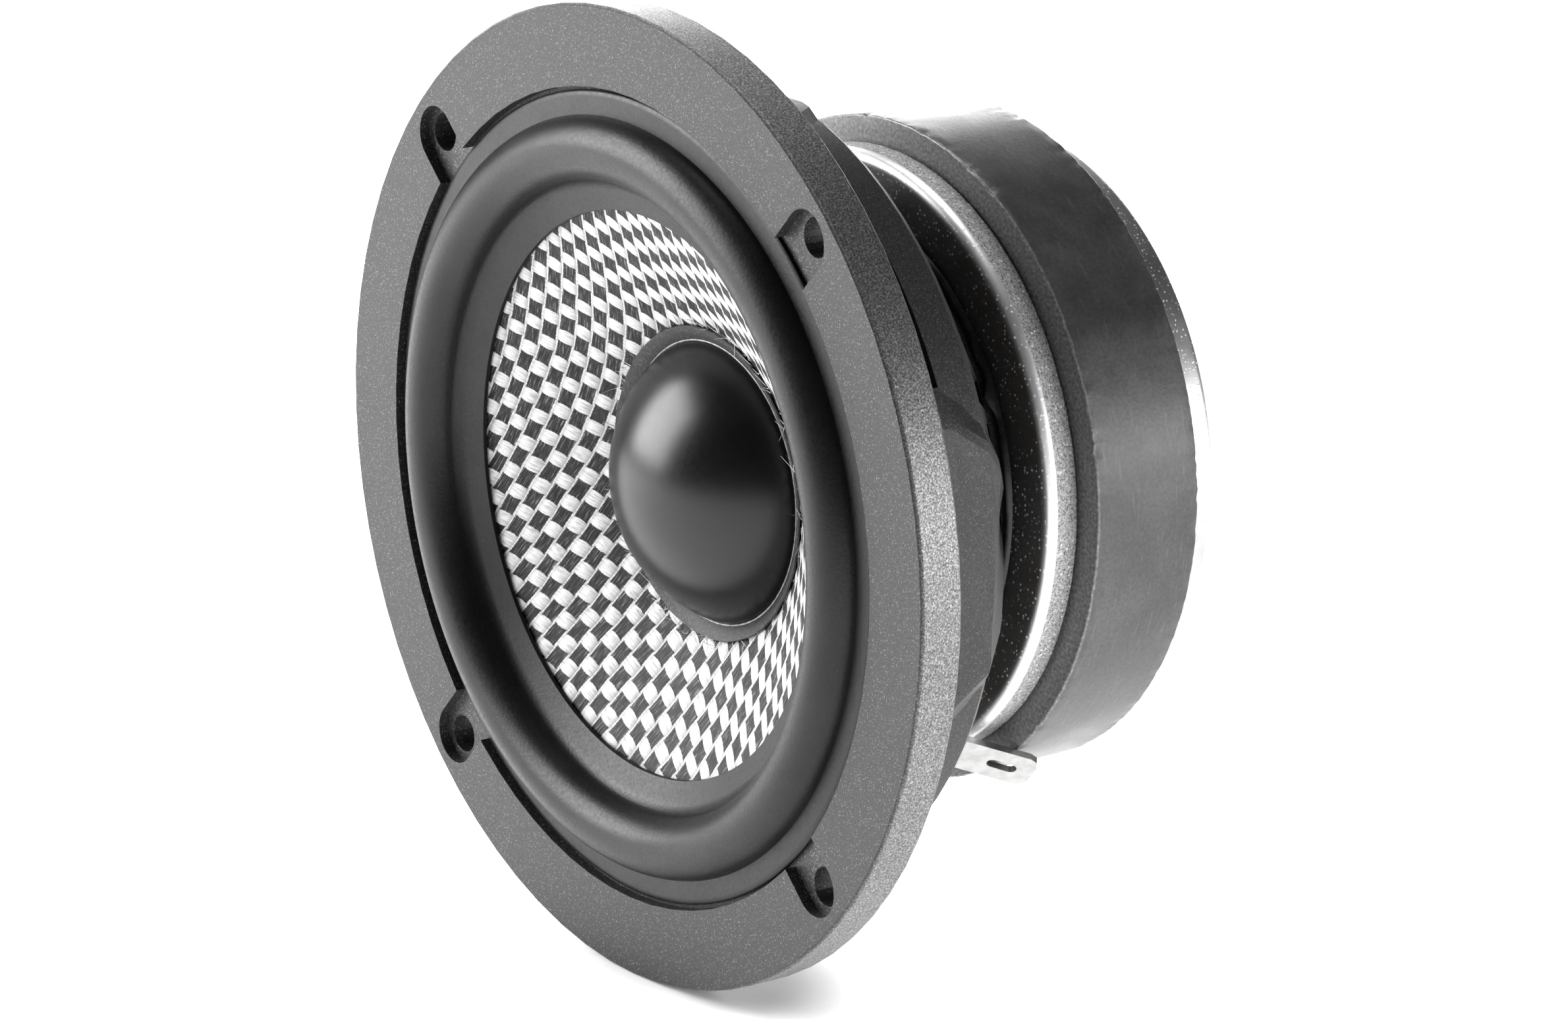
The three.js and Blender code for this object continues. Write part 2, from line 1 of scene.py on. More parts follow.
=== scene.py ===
"""Looks of a round 100 mm class loudspeaker driver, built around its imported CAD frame.

Lengths are millimetres, and MM turns them into metres, except where a comment says metres. The driver's axis
is Y, the cone faces -Y and +Z is up. A section is a list of (radius, y) points that is turned about Y.
"""

import math
import random

import bmesh
import bpy
from mathutils import Matrix, Vector, noise


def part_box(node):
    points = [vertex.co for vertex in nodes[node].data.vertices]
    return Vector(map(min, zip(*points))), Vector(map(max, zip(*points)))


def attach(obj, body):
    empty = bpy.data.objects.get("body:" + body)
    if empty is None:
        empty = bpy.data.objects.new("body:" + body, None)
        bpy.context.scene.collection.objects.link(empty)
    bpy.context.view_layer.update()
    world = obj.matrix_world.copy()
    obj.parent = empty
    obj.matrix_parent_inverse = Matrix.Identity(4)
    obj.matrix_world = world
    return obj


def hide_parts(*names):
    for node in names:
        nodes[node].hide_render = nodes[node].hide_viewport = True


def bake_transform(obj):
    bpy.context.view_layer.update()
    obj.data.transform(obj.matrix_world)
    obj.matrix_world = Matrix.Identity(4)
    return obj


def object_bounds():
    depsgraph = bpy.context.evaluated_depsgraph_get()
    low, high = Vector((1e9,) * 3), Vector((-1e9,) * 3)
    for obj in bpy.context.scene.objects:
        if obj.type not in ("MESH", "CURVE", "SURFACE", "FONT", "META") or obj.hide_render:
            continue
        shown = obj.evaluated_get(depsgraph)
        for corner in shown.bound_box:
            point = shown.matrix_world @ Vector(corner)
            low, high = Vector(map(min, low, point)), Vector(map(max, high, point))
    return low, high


MM = 0.001
FRAME = "frame"
MOVING = "diaphragm"
SIDES = ("positive", "negative")  # of the two terminals

FLANGE_FRONT = -5  # y of the flange's front face
GAP = 0.3  # clearance that touching pieces keep in the CAD
UNSCALED = 1 / MM  # noise size for coordinates that carry their own scale

AMBIENT = 0.07
# name, direction from the target, distance, target, size and watts, with lengths in metres
SOFTBOXES = [
    ("key", (-0.67, -0.62, 0.40), 0.85, (0, 0, 0), (0.62, 0.62), 11.5),
    ("background_left", (-0.80, 0.52, 0.22), 1.0, (0, 0.03, 0), (0.9, 0.5), 10.0),
    ("top", (-0.25, 0.15, 1.0), 1.0, (0, 0.02, 0), (0.45, 0.45), 4.0),
    ("low_right", (0.85, 0.50, 0.06), 0.9, (0, 0.02, -0.02), (0.7, 0.3), 4.2),
]

CAMERA_LENS, CAMERA_SENSOR = 141.9, 36
CAMERA_PLACE = (518.9, -355.3, 168.28)
CAMERA_RIGHT = (0.58547, 0.8105, -0.01635)
CAMERA_UP = (-0.20263, 0.1659, 0.96503)
CAMERA_BACK = (0.7849, -0.5617, 0.26139)
FLOOR_HALF_WIDTH = 1.2  # metres

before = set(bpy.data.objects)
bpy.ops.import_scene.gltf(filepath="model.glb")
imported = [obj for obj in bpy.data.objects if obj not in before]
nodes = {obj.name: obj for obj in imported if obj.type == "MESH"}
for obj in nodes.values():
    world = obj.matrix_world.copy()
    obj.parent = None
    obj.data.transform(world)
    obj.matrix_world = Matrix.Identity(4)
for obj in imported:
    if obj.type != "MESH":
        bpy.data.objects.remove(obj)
cad_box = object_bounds()


# ---------------------------------------------------------------- camera, light and floor

def camera():
    data = bpy.data.cameras.new("camera")
    data.sensor_width = CAMERA_SENSOR
    data.lens = CAMERA_LENS
    data.clip_start = 0.01
    obj = bpy.data.objects.new("camera", data)
    bpy.context.scene.collection.objects.link(obj)
    axes = (Vector(CAMERA_RIGHT), Vector(CAMERA_UP), Vector(CAMERA_BACK))
    turn = Matrix(axes).transposed().to_4x4()
    obj.matrix_world = Matrix.Translation(Vector(CAMERA_PLACE) * MM) @ turn
    bpy.context.scene.camera = obj


def area_light(name, spot, target, size, watts):
    data = bpy.data.lights.new(name, "AREA")
    data.shape = "RECTANGLE"
    data.size, data.size_y = size
    data.energy = watts
    obj = bpy.data.objects.new(name, data)
    bpy.context.scene.collection.objects.link(obj)
    obj.location = spot
    obj.rotation_euler = (Vector(target) - Vector(spot)).to_track_quat("-Z", "Y").to_euler()


def studio():
    """A white room seen by the camera, dimmer than it looks so that the softboxes shape the object."""
    world = bpy.data.worlds.new("studio")
    bpy.context.scene.world = world
    world.use_nodes = True
    tree = world.node_tree
    room = tree.nodes["Background"]
    room.inputs["Color"].default_value = (1, 1, 1, 1)
    room.inputs["Strength"].default_value = AMBIENT
    wall = tree.nodes.new("ShaderNodeBackground")
    wall.inputs["Color"].default_value = (1, 1, 1, 1)
    seen = tree.nodes.new("ShaderNodeLightPath")
    choose = tree.nodes.new("ShaderNodeMixShader")
    tree.links.new(seen.outputs["Is Camera Ray"], choose.inputs[0])
    tree.links.new(room.outputs[0], choose.inputs[1])
    tree.links.new(wall.outputs[0], choose.inputs[2])
    tree.links.new(choose.outputs[0], tree.nodes["World Output"].inputs[0])
    for name, direction, distance, target, size, watts in SOFTBOXES:
        spot = Vector(target) + Vector(direction).normalized() * distance
        area_light(name, spot, target, size, watts)
    bpy.context.scene.view_settings.view_transform = "Standard"
    bpy.context.scene.view_settings.look = "Medium High Contrast"


# ---------------------------------------------------------------- mesh helpers

def new_object(name, verts, faces, body, node, smooth):
    mesh = bpy.data.meshes.new(name)
    mesh.from_pydata([Vector(v) * MM for v in verts], [], faces)
    mesh.validate()
    bm = bmesh.new()
    bm.from_mesh(mesh)
    bmesh.ops.recalc_face_normals(bm, faces=bm.faces)
    bm.to_mesh(mesh)
    bm.free()
    return place(name, mesh, body, node, smooth)


def place(name, mesh, body, node, smooth):
    """A mesh as a shaded piece. smooth is in degrees: a sharper edge than that stays an edge."""
    mesh.polygons.foreach_set("use_smooth", [True] * len(mesh.polygons))
    mesh.set_sharp_from_angle(angle=math.radians(smooth))
    obj = bpy.data.objects.new(name, mesh)
    bpy.context.scene.collection.objects.link(obj)
    if node:
        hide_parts(node)
    if body:
        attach(obj, body)
    return obj


def polar(r, y, a):
    return (r * math.cos(a), y, r * math.sin(a))


def span_y(node):
    """Front and rear of a CAD node along the axis, in mm."""
    low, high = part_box(node)
    return low.y / MM, high.y / MM


def turned(name, section, body, node, count=192, wobble=None, closed=True, smooth=35):
    """Turns a section about Y. A point on the axis is one vertex; wobble(r, y, angle) may move the others."""
    verts, rings = [], []
    for r, y in section:
        if r < 1e-6:
            rings.append([len(verts)] * count)
            verts.append((0, y, 0))
            continue
        rings.append(list(range(len(verts), len(verts) + count)))
        for k in range(count):
            a = 2 * math.pi * k / count
            rr, yy = wobble(r, y, a) if wobble else (r, y)
            verts.append(polar(rr, yy, a))
    faces = []
    pairs = list(zip(rings, rings[1:]))
    if closed:
        pairs.append((rings[-1], rings[0]))
    for one, two in pairs:
        for k in range(count):
            n = (k + 1) % count
            face = [one[k], one[n], two[n], two[k]]
            face = [v for i, v in enumerate(face) if v not in face[:i]]
            if len(face) > 2:
                faces.append(face)
    return new_object(name, verts, faces, body, node, smooth)


def rounded(corners, steps=5):
    """A closed section from (radius, y, fillet) corners, with an arc at each corner that has a fillet."""
    points = []
    count = len(corners)
    for i, (r, y, fillet) in enumerate(corners):
        here = Vector((r, y))
        if fillet <= 0:
            points.append((r, y))
            continue
        before = Vector(corners[i - 1][:2]) - here
        after = Vector(corners[(i + 1) % count][:2]) - here
        before.normalize()
        after.normalize()
        half = before.angle(after) / 2
        reach = fillet / math.tan(half)
        centre = here + (before + after).normalized() * (fillet / math.sin(half))
        start = here + before * reach - centre
        end = here + after * reach - centre
        sweep = start.angle(end)
        for k in range(steps + 1):
            t = k / steps
            mix = (math.sin((1 - t) * sweep) * start + math.sin(t * sweep) * end) / math.sin(sweep)
            points.append(tuple(centre + mix))
    return points


def copy_of(node, name, body, smooth=28):
    """The CAD node's own shape, welded so that it can be shaded smooth."""
    mesh = nodes[node].data.copy()
    mesh.name = name
    mesh.materials.clear()
    if "custom_normal" in mesh.attributes:
        mesh.attributes.remove(mesh.attributes["custom_normal"])
    bm = bmesh.new()
    bm.from_mesh(mesh)
    bmesh.ops.remove_doubles(bm, verts=bm.verts, dist=1e-7)
    bm.to_mesh(mesh)
    bm.free()
    return place(name, mesh, body, node, smooth)


def blended(obj):
    """Bakes the piece's placement into its mesh."""
    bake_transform(obj)
    return obj


# ---------------------------------------------------------------- material helpers

class Paint:
    """A procedural material, in the CAD frame's own metres."""

    def __init__(self, name):
        self.material = bpy.data.materials.new(name)
        self.material.use_nodes = True
        self.tree = self.material.node_tree
        self.shader = self.tree.nodes["Principled BSDF"]
        self.space = self.node("ShaderNodeTexCoord").outputs["Object"]

    def node(self, kind, **values):
        made = self.tree.nodes.new(kind)
        for key, value in values.items():
            setattr(made, key, value)
        return made

    def put(self, socket, value):
        if hasattr(value, "links"):
            self.tree.links.new(value, socket)
        else:
            socket.default_value = value

    def math(self, operation, *values):
        made = self.node("ShaderNodeMath", operation=operation)
        for socket, value in zip(made.inputs, values):
            self.put(socket, value)
        return made.outputs[0]

    def xyz(self):
        made = self.node("ShaderNodeSeparateXYZ")
        self.put(made.inputs[0], self.space)
        return tuple(made.outputs)

    def axis_distance(self, x, z):
        squares = [self.math("POWER", side, 2.0) for side in (x, z)]
        return self.math("SQRT", self.math("ADD", *squares))

    def stretched(self, scale):
        made = self.node("ShaderNodeMapping")
        self.put(made.inputs["Vector"], self.space)
        made.inputs["Scale"].default_value = scale
        return made.outputs[0]

    def noise(self, size_mm, detail, vector=None, roughness=0.5):
        made = self.node("ShaderNodeTexNoise")
        self.put(made.inputs["Vector"], vector or self.space)
        made.inputs["Scale"].default_value = 1 / (size_mm * MM)
        made.inputs["Detail"].default_value = detail
        made.inputs["Roughness"].default_value = roughness
        return made.outputs["Fac"]

    def cells(self, size_mm):
        """Distance to the nearest cell's middle, in cells, and two random numbers of that cell."""
        made = self.node("ShaderNodeTexVoronoi")
        self.put(made.inputs["Vector"], self.space)
        made.inputs["Scale"].default_value = 1 / (size_mm * MM)
        dice = self.node("ShaderNodeSeparateColor")
        self.put(dice.inputs[0], made.outputs["Color"])
        return made.outputs["Distance"], dice.outputs[0], dice.outputs[1]

    def grade(self, fac, *stops):
        """A colour ramp from (position, grey) stops."""
        made = self.node("ShaderNodeValToRGB")
        ramp = made.color_ramp
        while len(ramp.elements) < len(stops):
            ramp.elements.new(0.5)
        for element, (position, grey) in zip(ramp.elements, stops):
            element.position = position
            element.color = (grey, grey, grey, 1)
        self.put(made.inputs[0], fac)
        return made.outputs["Color"]

    def ramp(self, value, low, high, out_low=0.0, out_high=1.0):
        made = self.node("ShaderNodeMapRange")
        for key, number in (("Value", value), ("From Min", low), ("From Max", high),
                            ("To Min", out_low), ("To Max", out_high)):
            self.put(made.inputs[key], number)
        return made.outputs[0]

    def mix(self, fac, one, two):
        made = self.node("ShaderNodeMix", data_type="RGBA")
        for socket, value in ((made.inputs[0], fac), (made.inputs[6], one), (made.inputs[7], two)):
            self.put(socket, (*value, 1) if isinstance(value, tuple) else value)
        return made.outputs[2]

    def bump(self, height, depth_mm, normal=None):
        made = self.node("ShaderNodeBump")
        made.inputs["Strength"].default_value = 1.0
        made.inputs["Distance"].default_value = depth_mm * MM
        self.put(made.inputs["Height"], height)
        if normal is not None:
            self.put(made.inputs["Normal"], normal)
        return made.outputs[0]

    def soft_edges(self, radius_mm):
        made = self.node("ShaderNodeBevel", samples=4)
        made.inputs["Radius"].default_value = radius_mm * MM
        return made.outputs[0]

    def finish(self, colour, roughness, metallic, normal, **sockets):
        """Sets the shader's sockets and gives the material. Other sockets are named with _ for each space."""
        given = {"Base Color": colour, "Roughness": roughness, "Metallic": metallic, "Normal": normal}
        given.update({key.replace("_", " "): value for key, value in sockets.items()})
        for key, value in given.items():
            self.put(self.shader.inputs[key], (*value, 1) if isinstance(value, tuple) else value)
        return self.material


# painted sparkle: the flakes on the flange's front face are set dimmer than those on its side
FACE_SHARE = 0.22  # brightness of the big flakes on the flange's front face, against those on its side
RIM_R = 51.9  # the flange's rim begins here


def cast_paint():
    """Dark grey powder coat with real flakes, fine and big; painted sparkle makes both brightest on the
    flange's side.

    The fine ones are faintest on the cage and the big ones on the flange's front face, by the same painted
    sparkle. The paint on the flange's rim is thin, so that metal shines through.
    """
    p = Paint("cast_paint")
    x, y, z = p.xyz()
    behind_face = p.ramp(y, (FLANGE_FRONT + 0.05) * MM, (FLANGE_FRONT + 0.4) * MM, FACE_SHARE, 1.0)
    distance, pick, _ = p.cells(0.17)
    core = p.ramp(distance, 0.6, 0.1)
    fleck = p.math("MULTIPLY", p.math("POWER", p.ramp(pick, 0.55, 1.0), 2.0), core)
    # painted sparkle: flakes are dimmer on the flange's front face than on its side
    fleck = p.math("MULTIPLY", fleck, p.ramp(behind_face, FACE_SHARE, 1.0, 0.22, 0.34))
    big_distance, _, big_pick = p.cells(0.26)
    rare = p.math("MULTIPLY", p.ramp(big_pick, 0.9, 1.0), p.ramp(big_distance, 0.35, 0.05))
    rare = p.math("MULTIPLY", rare, p.math("MULTIPLY", behind_face, 0.42))
    # painted sparkle: flakes are fainter on the cage
    calm = p.ramp(y, 0.4 * MM, 1.2 * MM, 1.0, 0.45)
    fleck, rare = p.math("MULTIPLY", fleck, calm), p.math("MULTIPLY", rare, calm)
    at_rim = p.ramp(p.axis_distance(x, z), RIM_R * MM, (RIM_R + 0.4) * MM)
    rim = p.math("MULTIPLY", p.ramp(behind_face, FACE_SHARE, 1.0), at_rim)
    grain = p.noise(0.2, 3.0)
    ground = p.grade(grain, (0.3, 0.024), (0.5, 0.038), (0.72, 0.06))
    bare = p.grade(grain, (0.3, 0.08), (0.5, 0.17), (0.7, 0.36))
    ground = p.mix(rim, ground, bare)
    colour = p.mix(p.math("MINIMUM", p.math("ADD", fleck, rare), 1.0), ground, (0.85, 0.85, 0.86))
    lumps = p.math("ADD", p.noise(0.3, 3.0), p.math("MULTIPLY", distance, 0.2))
    normal = p.bump(lumps, 0.02, p.soft_edges(0.12))
    roughness = p.ramp(fleck, 0.0, 1.0, 0.48, 0.25)
    metal = p.ramp(rim, 0.0, 1.0, 0.2, 0.8)
    return p.finish(colour, roughness, metal, normal, Specular_IOR_Level=0.4)


def rubber():
    """Soft black rubber with a faint cloudiness and a few specks of dust."""
    p = Paint("rubber")
    grain = p.noise(0.35, 4.0)
    cloud = p.noise(6.0, 3.0)
    colour = p.mix(p.ramp(cloud, 0.35, 0.7), (0.006, 0.006, 0.0062), (0.011, 0.011, 0.0112))
    distance, pick, _ = p.cells(0.45)
    dust = p.math("MULTIPLY", p.ramp(distance, 0.09, 0.03), p.ramp(pick, 0.96, 1.0))
    colour = p.mix(dust, colour, (0.3, 0.3, 0.3))
    fine = p.noise(0.14, 2.0)
    normal = p.bump(p.math("ADD", grain, p.math("MULTIPLY", fine, 0.5)), 0.018)
    return p.finish(colour, p.ramp(grain, 0.3, 0.7, 0.34, 0.46), 0.0, normal, Specular_IOR_Level=0.38)


# Cells of the cloth counted along the black yarn and along the white yarn, as sums of x, z, x², xz and z²,
# in mm: the cloth is cut on the bias and pulled a little out of square by the cone.
ALONG_BLACK = (0.34454, 0.53739, 0.00216, 0.00088, -0.00029)
ALONG_WHITE = (0.43517, -0.18726, -0.00153, 0.00268, 0.00014)


def weave():
    """Plain weave of black and white yarn; black shows where the two cell counts add up to an even number."""
    p = Paint("weave")
    x, _, z = p.xyz()
    x, z = p.math("MULTIPLY", x, 1 / MM), p.math("MULTIPLY", z, 1 / MM)
    terms = (x, z, p.math("MULTIPLY", x, x), p.math("MULTIPLY", x, z), p.math("MULTIPLY", z, z))
    drift = p.math("MULTIPLY", p.math("SUBTRACT", p.noise(7.0, 1.0), 0.5), 0.4)
    fuzz = p.math("MULTIPLY", p.math("SUBTRACT", p.noise(0.15, 2.0), 0.5), 0.1)

    def count(factors):
        """Cells counted up to here, as a running number and as a whole one."""
        total = drift
        for term, factor in zip(terms, factors):
            total = p.math("ADD", total, p.math("MULTIPLY", term, factor))
        return total, p.math("FLOOR", total)
    u, u_cell = count(ALONG_BLACK)
    v, v_cell = count(ALONG_WHITE)
    from_middle = p.math("SUBTRACT", p.math("SUBTRACT", v, v_cell), 0.5)
    off_middle = p.math("ABSOLUTE", from_middle)
    crown = p.math("COSINE", p.math("MULTIPLY", from_middle, math.pi))
    white_cell = p.math("FLOORED_MODULO", p.math("ADD", u_cell, v_cell), 2.0)

    # A black cell is a little longer than a white one, less so along its middle, and narrower than its row.
    step = p.math("FLOORED_MODULO", p.math("ADD", u, v_cell), 2.0)
    from_black = p.math("ABSOLUTE", p.math("SUBTRACT", step, 0.5))
    from_black = p.math("SUBTRACT", 1.0, p.math("ABSOLUTE", p.math("SUBTRACT", from_black, 1.0)))
    row = p.ramp(p.math("ADD", off_middle, fuzz), 0.45, 0.4)
    reach = p.math("ADD", p.math("ADD", from_black, fuzz), p.math("MULTIPLY", crown, 0.08))
    black = p.math("MULTIPLY", row, p.ramp(reach, 0.64, 0.6))

    def fibres(u_scale, v_scale, roughness):
        grain = p.node("ShaderNodeCombineXYZ")
        p.put(grain.inputs[0], p.math("MULTIPLY", u, u_scale))
        p.put(grain.inputs[1], p.math("MULTIPLY", v, v_scale))
        return p.noise(UNSCALED, 3.0, grain.outputs[0], roughness)
    streaks = fibres(1.1, 11.0, 0.6)
    strands = fibres(11.0, 1.1, 0.5)
    dark = p.grade(streaks, (0.38, 0.01), (0.52, 0.03), (0.6, 0.07), (0.7, 0.26))
    light = p.grade(strands, (0.32, 0.36), (0.46, 0.54), (0.62, 0.66))
    shaded_end = p.math("MULTIPLY", p.ramp(off_middle, 0.26, 0.5), 0.62)
    light = p.mix(p.math("MULTIPLY", shaded_end, white_cell), light, (0.25, 0.25, 0.25))
    colour = p.mix(black, light, dark)
    strand_height = p.math("MULTIPLY", p.math("ADD", streaks, strands), 0.25)
    height = p.math("ADD", p.math("MULTIPLY", p.math("MULTIPLY", crown, white_cell), 0.9), strand_height)
    normal = p.bump(height, 0.18)
    return p.finish(colour, p.ramp(black, 0.0, 1.0, 0.5, 0.6), 0.0, normal, Specular_IOR_Level=0.35)


def satin_black():
    """The moulded dome: matte black with a faint orange peel."""
    p = Paint("cap_plastic")
    peel = p.noise(0.5, 3.0)
    fine = p.noise(0.12, 2.0)
    colour = p.mix(p.ramp(p.noise(5.0, 2.0), 0.35, 0.65), (0.003, 0.003, 0.0031), (0.005, 0.005, 0.0051))
    normal = p.bump(p.math("ADD", p.math("MULTIPLY", peel, 0.5), fine), 0.0009)
    return p.finish(colour, p.ramp(peel, 0.3, 0.7, 0.29, 0.33), 0.0, normal, Specular_IOR_Level=0.5)


def collar_paper():
    p = Paint("collar_paper")
    grain = p.noise(0.3, 4.0)
    colour = p.grade(grain, (0.3, 0.025), (0.6, 0.05), (0.72, 0.11))
    return p.finish(colour, 0.6, 0.0, p.bump(grain, 0.03))


def plated(name, low, high, roughness, grain_mm=0.3, face=None, rear=None):
    """Zinc-plated steel with turning marks round the axis, stains and bright grains, whose near-white colour
    is painted glints.

    face is (y of the front face, tone): the flat face is painted darker than the sheared and rounded edge, as
    painted shade.
    rear is the y of a rear face that is darker and duller than the rest.
    """
    p = Paint(name)
    x, y, z = p.xyz()
    ring = p.node("ShaderNodeCombineXYZ")
    p.put(ring.inputs[0], p.axis_distance(x, z))
    p.put(ring.inputs[1], y)
    turning = p.noise(0.5, 3.0, ring.outputs[0], 0.7)
    cloud = p.noise(6.0, 4.0)
    distance, pick, _ = p.cells(grain_mm)
    # grains with a bump; their near-white, less metallic colour is painted glints
    glinting_grain = p.math("MULTIPLY", p.ramp(distance, 0.44, 0.16), p.ramp(pick, 0.6, 0.85))
    colour = p.mix(p.ramp(cloud, 0.35, 0.65), (low, low, low * 1.01), (high, high, high * 1.01))
    rough = p.math("ADD", p.math("MULTIPLY", cloud, 0.16), roughness - 0.08)
    if face:
        front, tone = face
        # painted shade: the flat front face takes the darker tone
        edge = p.ramp(y, (front + 0.05) * MM, (front + 0.4) * MM)
        colour = p.mix(edge, (tone, tone, tone), colour)
        wall = p.ramp(y, (front + PLATE_ROUNDING - 0.1) * MM, (front + PLATE_ROUNDING + 0.15) * MM)
        speckle = p.grade(p.noise(0.22, 3.0, roughness=0.7), (0.34, 0.14), (0.44, 0.38), (0.6, 0.6))
        colour = p.mix(wall, colour, speckle)
        rough = p.math("ADD", rough, p.math("MULTIPLY", wall, 0.3))
    if rear:
        stained = p.ramp(y, (rear - 0.15) * MM, (rear - 0.03) * MM)
        colour = p.mix(stained, colour, p.grade(cloud, (0.36, 0.12), (0.5, 0.145), (0.64, 0.17)))
        rough = p.math("ADD", rough, p.math("MULTIPLY", stained, 0.24))
        glinting_grain = p.math("MULTIPLY", glinting_grain, p.ramp(stained, 0.0, 1.0, 1.0, 0.15))
    colour = p.mix(p.math("MULTIPLY", glinting_grain, 0.7), colour, (0.95, 0.95, 0.95))
    height = p.math("ADD", p.math("MULTIPLY", turning, 0.4), p.math("MULTIPLY", glinting_grain, 0.6))
    metal = p.ramp(glinting_grain, 0.0, 1.0, 0.9, 0.2)
    return p.finish(colour, rough, metal, p.bump(height, 0.02))


def ferrite():
    """Dark ground ferrite; its front face is left as sintered, paler and grainy."""
    p = Paint("ferrite")
    _, y, _ = p.xyz()
    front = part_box("magnet")[0].y
    fine = p.noise(0.4, 5.0, roughness=0.6)
    cloud = p.noise(7.0, 4.0)
    tone = p.math("ADD", p.math("MULTIPLY", fine, 0.45), p.math("MULTIPLY", cloud, 0.55))
    colour = p.grade(tone, (0.3, 0.045), (0.5, 0.07), (0.7, 0.105))
    scratch = p.noise(UNSCALED, 2.0, p.stretched((260, 2600, 260)), 0.6)
    colour = p.mix(p.ramp(scratch, 0.6, 0.75, 0.0, 0.35), colour, (0.16, 0.16, 0.165))
    sintered = p.grade(fine, (0.3, 0.12), (0.5, 0.22), (0.7, 0.36))
    colour = p.mix(p.ramp(y, front + 0.35 * MM, front + 0.1 * MM, 0.0, 0.85), colour, sintered)
    height = p.math("ADD", fine, p.math("MULTIPLY", scratch, 0.3))
    return p.finish(colour, p.ramp(cloud, 0.3, 0.7, 0.3, 0.46), 0.2, p.bump(height, 0.02))


def tinned():
    """Tinned brass, a little cloudy."""
    p = Paint("tinned")
    cloud = p.noise(1.2, 3.0)
    fine = p.noise(0.15, 2.0)
    colour = p.mix(p.ramp(cloud, 0.35, 0.7), (0.4, 0.4, 0.395), (0.52, 0.52, 0.515))
    normal = p.bump(p.math("ADD", cloud, p.math("MULTIPLY", fine, 0.3)), 0.006, p.soft_edges(0.12))
    return p.finish(colour, p.ramp(cloud, 0.3, 0.7, 0.28, 0.4), 1.0, normal)


def grained(name, dark, light, size_mm, roughness, depth_mm, **sockets):
    """A plain material that varies between two colours, with a grain of one size."""
    p = Paint(name)
    grain = p.noise(size_mm, 4.0)
    colour = p.mix(p.ramp(grain, 0.35, 0.65), dark, light)
    rough = p.ramp(grain, 0.3, 0.7, roughness - 0.06, roughness + 0.06)
    return p.finish(colour, rough, 0.0, p.bump(grain, depth_mm), **sockets)


def spider_cloth():
    """Impregnated open weave, 0.7 mm from thread to thread, painted darker where its relief is low as painted
    shade.
    """
    p = Paint("cloth")
    x, _, z = p.xyz()
    scale = 2 * math.pi / (0.7 * MM)
    warp = p.math("SINE", p.math("MULTIPLY", x, scale))
    weft = p.math("SINE", p.math("MULTIPLY", z, scale))
    threads = p.math("MULTIPLY", warp, weft)
    # painted shade: the colour follows the thread relief, darker in its low places
    tone = p.math("ADD", p.ramp(threads, -1.0, 1.0, 0.3, 0.7), p.math("MULTIPLY", p.noise(0.3, 3.0), 0.3))
    colour = p.mix(tone, (0.2, 0.1, 0.03), (0.46, 0.27, 0.09))
    return p.finish(colour, 0.75, 0.0, p.bump(threads, 0.05), Sheen_Weight=0.3)


def winding():
    """Enamelled wire of 0.22 mm, wound in rings; the darker colour between the turns is painted shade."""
    p = Paint("copper")
    _, y, _ = p.xyz()
    turns = p.math("SINE", p.math("MULTIPLY", y, 2 * math.pi / (0.22 * MM)))
    # painted shade: darker between the turns, lighter on their crowns
    colour = p.mix(p.ramp(turns, -1.0, 1.0), (0.2, 0.06, 0.03), (0.62, 0.26, 0.12))
    return p.finish(colour, p.ramp(p.noise(1.0, 2.0), 0.3, 0.7, 0.25, 0.4), 0.9, p.bump(turns, 0.06))


def paper_floor():
    """White paper that glows like a lit table, less so where the object shades it."""
    p = Paint("floor")
    grain = p.noise(2.0, 3.0)
    colour = p.mix(p.ramp(grain, 0.3, 0.7), (0.9, 0.9, 0.9), (0.93, 0.93, 0.93))
    near = p.node("ShaderNodeAmbientOcclusion", samples=16)
    near.inputs["Distance"].default_value = 0.016
    glow = p.ramp(near.outputs["AO"], 0.45, 0.97, 0.05, 1.25)
    return p.finish(colour, 0.9, 0.0, p.bump(grain, 0.01), Emission_Color=(1, 1, 1), Emission_Strength=glow)


def dress(obj, material):
    obj.data.materials.clear()
    obj.data.materials.append(material)


# ---------------------------------------------------------------- the motor

PLATE_R, PLATE_BORE_R = 33.4, 14.2
PLATE_ROUNDING = 1.25  # on the front plate's front edge
MAGNET_R, MAGNET_BORE_R = 36.35, 18
MAGNET_WORN = 1.75  # how far in from its rim the magnet's face is worn
MAGNET_BANDS = 9  # along the magnet's side wall
BACK_BORE_R = 8.5
POLE_R, VENT_R, VENT_MOUTH_R = 11.9, 4, 5.5
SEAT_R = 27  # middle of the basket's seat
SEAT_DROPS = [(0.42, 1.2), (0.6, 0.8)]  # angle and size of the two drops of glue that are always there


def rough_edge(amount_mm, edges, seed):
    """Roughens a turned surface near its edges, which are (r, y) places, as on a sintered or sheared part."""
    reach = 0.9

    def move(r, y, a):
        near = min(math.hypot(r - er, y - ey) for er, ey in edges)
        fade = max(0.0, 1 - near / reach)
        spot = Vector((math.cos(a) * r * 0.9, y * 0.9 + seed, math.sin(a) * r * 0.9))
        lift = noise.noise(spot * 1.4) + 0.5 * noise.noise(spot * 3.6)
        chip = max(0.0, noise.noise(spot * 1.3) - 0.3) * 2.0
        return r + amount_mm * fade * (0.35 * lift - chip), y
    return move


